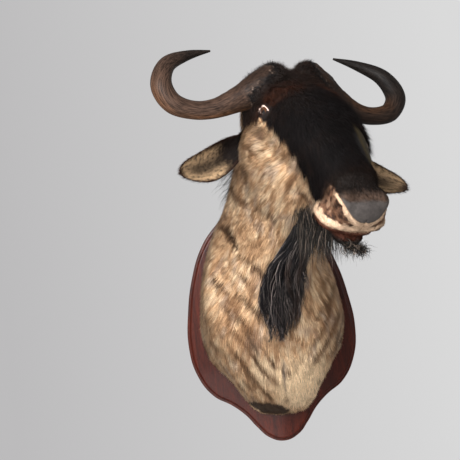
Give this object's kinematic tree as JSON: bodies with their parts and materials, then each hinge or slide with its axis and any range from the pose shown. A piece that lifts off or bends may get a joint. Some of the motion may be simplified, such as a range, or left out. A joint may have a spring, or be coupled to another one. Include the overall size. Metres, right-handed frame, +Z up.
{
  "type": "wildebeest taxidermy shoulder mount",
  "caption": "Wildebeest shoulder mount with ridged, upswept horns and a hanging beard, on a shield-shaped mahogany plaque that hangs flat on a wall.",
  "frame": {"origin": "middle of the plaque's flat back, in the plane of the wall", "axes": "+Y into the wall, +Z up the plaque, +X to the right of a person who looks at the mount"},
  "size_m": [0.6218, 0.7351, 1.014],
  "materials": {
    "mahogany": "dark red-brown stain under gloss varnish",
    "zinc_steel": "zinc plated",
    "haired_hide": "short brindled hair, black on the face, mane and beard",
    "horn_keratin": "satin keratin, fibrous at the base and smooth at the tip",
    "eye_glass": "polished, dark amber behind"
  },
  "bodies": {
    "root": {"plaque": "mahogany", "hanger_plate": "zinc_steel", "hanger_screw_top": "zinc_steel", "hanger_screw_bottom": "zinc_steel", "hide": "haired_hide", "horn_left": "horn_keratin", "horn_right": "horn_keratin", "eye_left": "eye_glass", "eye_right": "eye_glass"}
  },
  "joints": []
}
